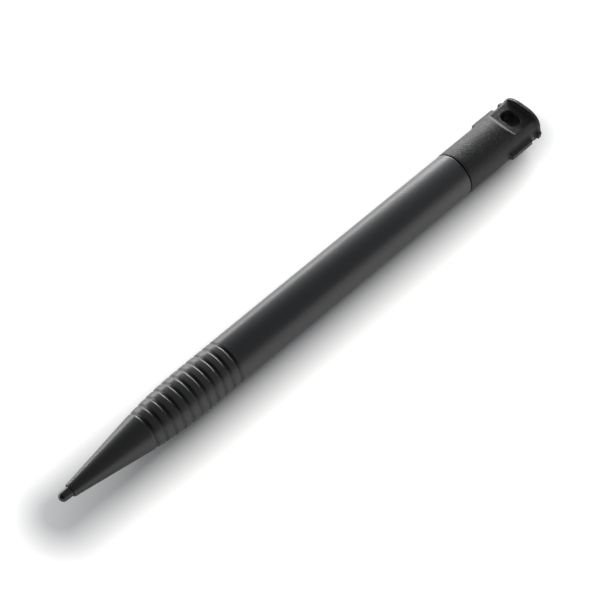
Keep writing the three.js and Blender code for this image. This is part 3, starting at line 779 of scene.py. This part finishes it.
def make_antenna():
    start, end, radius = span("ferrite_core")
    hole = 0.8
    core = [(start, hole, 0.05), (start, radius, 0.12), (end, radius, 0.12), (end, hole, 0.05)]
    mesh = turned("core", core, SMALL_SEGMENTS)
    piece("core_rod", mesh, "housing", ["ferrite_core"], FERRITE)

    start, end, radius = span("coil_bobbin")
    flange, bore, wall = 0.5, 1.55, 1.65
    bobbin = [
        (start, bore, 0.03),
        (start, radius, 0.1),
        (start + flange, radius, 0.1),
        (start + flange, wall, 0.02),
        (end - flange, wall, 0.02),
        (end - flange, radius, 0.1),
        (end, radius, 0.1),
        (end, bore, 0.03),
    ]
    mesh = turned("bobbin", bobbin, SMALL_SEGMENTS)
    piece("bobbin_sleeve", mesh, "housing", ["coil_bobbin"], NYLON)

    start, end, radius = span("coil_winding")
    turns = 48
    wire = (end - start) / turns / 2
    corners = [(start, wall + 0.02)]
    for i in range(turns):
        for k in range(5):
            angle = math.pi * (k + 0.5) / 5
            along = start + wire * (2 * i + 1 - math.cos(angle))
            corners.append((along, radius - wire * (1 - math.sin(angle))))
    corners.append((end, wall + 0.02))
    mesh = turned("winding", corners, SMALL_SEGMENTS)
    piece("winding_turns", mesh, "housing", ["coil_winding"], COPPER)

    for side, node in ((1, "coil_lead_left"), (-1, "coil_lead_right")):
        low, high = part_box(node)
        middle = (low + high) / 2
        up = (middle.z - AXIS_Z) / MM
        start, end, radius = span(node)
        path = []
        for i in range(41):
            t = i / 40
            wander = 0.012 * math.sin(7 * t * math.pi + side)
            path.append((start + (end - start) * t, middle.y / MM + wander, up + wander))
        mesh = tube_along(node + "_wire", path, radius - 0.015)
        piece(node + "_wire", mesh, "housing", [node], COPPER)


# ---------------------------------------------------------------- pressure sensor


def make_sensor():
    start, end, radius = span("sensor_housing")
    bore, lip, lip_back = 2.05, 1.65, 26.9
    shelf_front, shelf_back, shelf_hole = 31.6, 32.2, 1.15
    flange_front, tube_radius = 41.6, 2.5
    slot_inner, slot_outer, slot_half_height = 1.92, 2.8, 0.22
    shell = [
        (start, lip, 0.1),
        (start, tube_radius, 0.15),
        (flange_front, tube_radius, 0.1),
        (flange_front, radius, 0.15),
        (end, radius, 0.15),
        (end, bore, 0.1),
        (shelf_back, bore, 0.05),
        (shelf_back, shelf_hole, 0.1),
        (shelf_front, shelf_hole, 0.1),
        (shelf_front, bore, 0.05),
        (lip_back, bore, 0.05),
        (lip_back, lip, 0.1),
    ]
    lead_low, lead_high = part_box("coil_lead_left")
    lead_up = ((lead_low.z + lead_high.z) / 2 - AXIS_Z) / MM
    slots = []
    for side in (1, -1):
        edges = sorted((side * slot_inner, side * slot_outer))
        low = place(start - OVERSHOOT, edges[0], lead_up - slot_half_height)
        high = place(end + OVERSHOOT, edges[1], lead_up + slot_half_height)
        slots.append(block("slot", low, high, 0.00002, 1))
    mesh = cut(turned("sensor", shell, SMALL_SEGMENTS), slots)
    piece("sensor_shell", mesh, "housing", ["sensor_housing"], SENSOR_PLASTIC)

    start, end, radius = span("nib_holder")
    socket_end, socket_radius = 28.7, 0.75
    collar_front, collar_back = 26.95, 27.6
    nose_radius, stem_radius = 1.45, 1.0
    holder = [
        (socket_end, 0),
        (socket_end, socket_radius, 0.2),
        (start, socket_radius, 0.12),
        (start, nose_radius, 0.12),
        (collar_front, nose_radius, 0.05),
        (collar_front, radius, 0.12),
        (collar_back, radius, 0.12),
        (collar_back, stem_radius, 0.08),
        (end, stem_radius, 0.1),
        (end, 0),
    ]
    mesh = turned("holder", holder, SMALL_SEGMENTS)
    piece("holder_cup", mesh, "plunger", ["nib_holder"], NYLON)

    start, end, radius = span("return_spring")
    wire = 0.17
    turns = 6
    steps = turns * 28
    reach = radius - wire - 0.02
    closing = 0.12
    path = []
    for i in range(steps + 1):
        t = i / steps
        eased = t + math.sin(2 * math.pi * t) * -closing
        along = start + wire + (end - start - 2 * wire) * eased
        angle = 2 * math.pi * turns * t
        path.append((along, reach * math.cos(angle), reach * math.sin(angle)))
    mesh = tube_along("spring", path, wire)
    spring = piece("spring_wire", mesh, "housing", ["return_spring"], STEEL)
    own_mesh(spring)

    start, end, radius = span("rubber_electrode")
    rim = start + 1.0
    dome_steps = 9
    pad = [(start, 0), (start, radius, 0.15), (rim, radius, 0.1)]
    for i in range(1, dome_steps):
        angle = math.pi / 2 * i / dome_steps
        pad.append((rim + (end - rim) * math.sin(angle), radius * math.cos(angle)))
    pad.append((end, 0))
    mesh = turned("pad", pad, SMALL_SEGMENTS)
    piece("electrode_pad", mesh, "plunger", ["rubber_electrode"], RUBBER)

    discs = (
        ("ceramic_disc", "dielectric_disc", "white_ceramic", WHITE_CERAMIC, 0.08),
        ("disc_contact", "contact_plate", "contact_brass", BRASS, 0.03),
        ("sensor_base", "base_plug", "sensor_plastic", SENSOR_PLASTIC, 0.2),
    )
    for node, name, slot, material, edge in discs:
        start, end, radius = span(node)
        disc = [(start, 0), (start, radius, edge), (end, radius, edge), (end, 0)]
        piece(name, turned(name, disc, SMALL_SEGMENTS), "housing", [node], material)

    for node in ("sensor_pin_left", "sensor_pin_right"):
        low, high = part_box(node)
        start, end, radius = span(node)
        middle = (low + high) / 2
        up = (middle.z - AXIS_Z) / MM
        path = [(start + (end - start) * i / 12, middle.y / MM, up) for i in range(13)]
        mesh = tube_along(node + "_wire", path, radius)
        piece(node + "_wire", mesh, "housing", [node], TIN)


# ---------------------------------------------------------------- circuit board


def make_carrier():
    start, end, radius = span("board_carrier")
    inner = 2.6
    bay_from, bay_to = 44.2, 81.2
    tube = [(start, inner, 0.1), (start, radius, 0.2), (end, radius, 0.2), (end, inner, 0.1)]
    clear = 5
    first_window, window_pitch = 49, 8.5
    window_length, window_half_width = 5, 1.2
    bay = block("bay", place(bay_from, -clear, 0), place(bay_to, clear, clear), 0.0002, 4)
    windows = []
    for i in range(4):
        along = first_window + window_pitch * i
        low = place(along, -window_half_width, -clear)
        high = place(along + window_length, window_half_width, -1)
        windows.append(block("window", low, high, 0.0004, 4))
    mesh = cut(turned("carrier", tube, SMALL_SEGMENTS * 2), [bay, *windows])
    piece("carrier_cradle", mesh, "housing", ["board_carrier"], SENSOR_PLASTIC)


def track(points, width=0.25, thick=0.03):
    """A copper track on top of the board: straight runs through points of (along, across)."""
    top = (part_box("circuit_board")[1].z - AXIS_Z) / MM
    runs = []
    for (x0, y0), (x1, y1) in zip(points, points[1:]):
        low = place(min(x0, x1) - width / 2, min(y0, y1) - width / 2, top - 0.01)
        high = place(max(x0, x1) + width / 2, max(y0, y1) + width / 2, top + thick)
        runs.append(block("run", low, high, 0.000008, 1))
    return runs


def make_board():
    low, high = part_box("circuit_board")
    mesh = block("board", low, high, 0.00008, 2)
    piece("board_laminate", mesh, "housing", ["circuit_board"], LAMINATE)

    start, end, _ = span("circuit_board")
    runs = []
    for side in (1, -1):
        lead_pad, rail = side * 2.1, side * 2.6
        bend = start + 3
        runs += track([(start + 0.6, lead_pad), (bend, lead_pad), (bend, rail), (72, rail)])
        runs += track([(start + 2, side * 0.8), (start + 5.4, side * 0.8)])
        for along in (64, 68):
            runs += track([(along - 0.8, side * 1.5), (along - 0.8, rail)], 0.5)
            runs += track([(along + 0.8, side * 1.5), (along + 0.8, side * 0.4)], 0.5)
    runs += track([(58.8, 0), (70, 0)], 0.7)
    for spot in range(5):
        along = 73.5 + 1.4 * spot
        runs += track([(along, -1.4), (along, -0.9)], 0.7)
    mesh = join_meshes("tracks", runs)
    piece("board_tracks", mesh, "housing", [], TIN)


def make_chip(node, name, body_material):
    """A chip part: its body between two tinned ends."""
    low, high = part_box(node)
    cap = 0.00032
    inset = Vector((cap * 0.9, 0.00002, 0.00002))
    mesh = block("chip", low + inset, high - inset, 0.00003, 2)
    piece(name + "_body", mesh, "housing", [node], body_material)
    ends = [
        block("end", low, Vector((low.x + cap, high.y, high.z)), 0.00005, 3),
        block("end", Vector((high.x - cap, low.y, low.z)), high, 0.00005, 3),
    ]
    piece(name + "_ends", join_meshes("ends", ends), "housing", [], TIN)


def upright(name, centre, radius, bottom, top, edge):
    """A round post with a rounded top edge. Its heights are metres, its radius and edge millimetres."""
    form = bmesh.new()
    depth = top - bottom
    middle = Vector((centre.x, centre.y, (top + bottom) / 2))
    bmesh.ops.create_cone(
        form, cap_ends=True, segments=SMALL_SEGMENTS, radius1=radius * MM, radius2=radius * MM,
        depth=depth, matrix=Matrix.Translation(middle),
    )
    rims = [e for e in form.edges if all(abs(v.co.z - top) < 1e-7 for v in e.verts)]
    bmesh.ops.bevel(form, geom=rims, offset=edge * MM, segments=3, profile=0.5, affect="EDGES")
    mesh = bpy.data.meshes.new(name)
    form.to_mesh(mesh)
    form.free()
    return mesh


def make_trimmer():
    low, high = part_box("trimmer_body")
    centre = (low + high) / 2
    above = high.z + MM
    hole = upright("hole", centre, 0.35, high.z - 0.75 * MM, above, 0.01)
    dish = upright("dish", centre, 1.35, high.z - 0.04 * MM, above, 0.01)
    mesh = cut(block("block", low, high, 0.00012, 3), [hole, dish])
    piece("trimmer_block", mesh, "housing", ["trimmer_body"], WHITE_CERAMIC)

    rotor_low, rotor_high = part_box("trimmer_rotor")
    disc_bottom = rotor_high.z - 0.45 * MM
    disc = upright("disc", centre, 1.2, disc_bottom, rotor_high.z, 0.08)
    pin = upright("pin", centre, 0.3, rotor_low.z, disc_bottom + 0.1 * MM, 0.01)
    slot_low = Vector((centre.x - 2 * MM, centre.y - 0.2 * MM, rotor_high.z - 0.2 * MM))
    slot_high = Vector((centre.x + 2 * MM, centre.y + 0.2 * MM, rotor_high.z + MM))
    mesh = join_meshes("rotor", [cut(disc, [block("slot", slot_low, slot_high, 0.00002, 1)]), pin])
    piece("trimmer_screw", mesh, "trimmer", ["trimmer_rotor"], BRASS)


def make_damper():
    start, end, radius = span("rear_damper")
    waist = ((start + end) / 2, radius * 0.985, 0.3)
    pad = [(start, 0), (start, radius, 0.5), waist, (end, radius, 0.5), (end, 0)]
    mesh = turned("damper", pad, SMALL_SEGMENTS)
    piece("damper_pad", mesh, "housing", ["rear_damper"], FOAM)


make_nib()
make_nose_cone()
make_grip()
make_barrel()
make_tail_cap()
make_cap_seal()
make_antenna()
make_sensor()
make_carrier()
make_board()
for number in range(1, 5):
    make_chip(f"chip_capacitor_{number}", f"capacitor_{number}", CHIP_CERAMIC)
make_chip("chip_resistor", "resistor", RESISTOR_GLAZE)
make_trimmer()
make_damper()

# ---------------------------------------------------------------- studio

FLOOR_SIZE = 3.0
FLOOR_GLOW = 0.92
# Distances from the pen over which the floor's glow rises from nothing to full: the reach of a painted
# contact shadow.
PAINTED_SHADOW_FADE = (0.003, 0.013)
CAMERA_PLACE = Vector((-0.15086, -0.14094, 0.30164))
CAMERA_FORWARD = Vector((0.41363, 0.39075, -0.82233))
CAMERA_RIGHT = Vector((0.70256, -0.71146, 0.01532))
CAMERA_LENS = 120


def make_floor():
    """A pale glowing floor with a painted contact shadow: its glow fades to nothing close to the pen, which
    lies across its middle.
    """
    form = bmesh.new()
    bmesh.ops.create_grid(form, x_segments=1, y_segments=1, size=FLOOR_SIZE / 2)
    mesh = bpy.data.meshes.new("floor")
    form.to_mesh(mesh)
    form.free()
    floor = bpy.data.objects.new("floor", mesh)
    bpy.context.scene.collection.objects.link(floor)
    shader = Shader("pale_glowing_floor_painted_shadow")
    axes = shader.add("ShaderNodeSeparateXYZ")
    shader.link(shader.here, axes.inputs["Vector"])
    beyond_ends = shader.math("ABSOLUTE", axes.outputs["X"], 0)
    beyond_ends = shader.math("SUBTRACT", beyond_ends, PEN_LENGTH * MM / 2)
    beyond_ends = shader.math("MAXIMUM", beyond_ends, 0)
    away = shader.math("POWER", beyond_ends, 2)
    away = shader.math("ADD", away, shader.math("POWER", axes.outputs["Y"], 2))
    away = shader.math("SQRT", away, 0)
    # Painted shadow: the glow is zero next to the pen and rises with distance from it. This darkens the
    # floor there and in the pen's reflections.
    glow_under_painted_shadow = shader.fit(away, 0, FLOOR_GLOW, *PAINTED_SHADOW_FADE)
    shader.set(Base_Color=(0.9, 0.9, 0.89), Roughness=0.9, Specular_IOR_Level=0.1)
    shader.set(Emission_Color=(1.0, 0.985, 0.96), Emission_Strength=glow_under_painted_shadow)
    mesh.materials.append(shader.material)


def make_camera():
    data = bpy.data.cameras.new("camera")
    data.sensor_width = 36
    data.lens = CAMERA_LENS
    data.clip_start = 0.01
    camera = bpy.data.objects.new("camera", data)
    back = -CAMERA_FORWARD.normalized()
    right = (CAMERA_RIGHT - back * CAMERA_RIGHT.dot(back)).normalized()
    up = back.cross(right)
    camera.matrix_world = Matrix.Translation(CAMERA_PLACE) @ Matrix((right, up, back)).transposed().to_4x4()
    bpy.context.scene.collection.objects.link(camera)
    bpy.context.scene.camera = camera


def area_light(name, direction, distance, size, power, colour=(1, 1, 1)):
    """A soft light seen from the pen in a direction, facing it."""
    data = bpy.data.lights.new(name, "AREA")
    data.shape = "RECTANGLE"
    data.size, data.size_y = size
    data.energy = power
    data.color = colour
    light = bpy.data.objects.new(name, data)
    towards = Vector(direction).normalized()
    light.location = towards * distance
    light.rotation_mode = "QUATERNION"
    light.rotation_quaternion = towards.to_track_quat("Z", "Y")
    bpy.context.scene.collection.objects.link(light)


def make_world(colour, dim, bright):
    """A plain studio: dim behind the tip of the pen, brighter beyond its tail."""
    world = bpy.data.worlds.new("studio")
    world.use_nodes = True
    tree = world.node_tree
    background = tree.nodes["Background"]
    background.inputs["Color"].default_value = (*colour, 1)
    here = tree.nodes.new("ShaderNodeTexCoord")
    axes = tree.nodes.new("ShaderNodeSeparateXYZ")
    rise = tree.nodes.new("ShaderNodeMapRange")
    rise.inputs["From Min"].default_value = -0.6
    rise.inputs["From Max"].default_value = 0.1
    rise.inputs["To Min"].default_value = dim
    rise.inputs["To Max"].default_value = bright
    tree.links.new(here.outputs["Generated"], axes.inputs["Vector"])
    tree.links.new(axes.outputs["X"], rise.inputs["Value"])
    tree.links.new(rise.outputs["Result"], background.inputs["Strength"])
    bpy.context.scene.world = world


make_floor()
make_camera()
make_world((0.9, 0.94, 1.0), 0.03, 0.44)
area_light("back_strip", (0.05, 0.99, 0.09), 1.1, (3.0, 0.2), 19)
area_light("front_strip", (0.3, -0.95, 0.13), 1.1, (3.0, 0.26), 2.2, (1.0, 0.96, 0.9))
area_light("tail_strip", (0.9, 0.4, 0.16), 1.1, (1.0, 0.2), 25)
bpy.context.scene.view_settings.view_transform = "Standard"
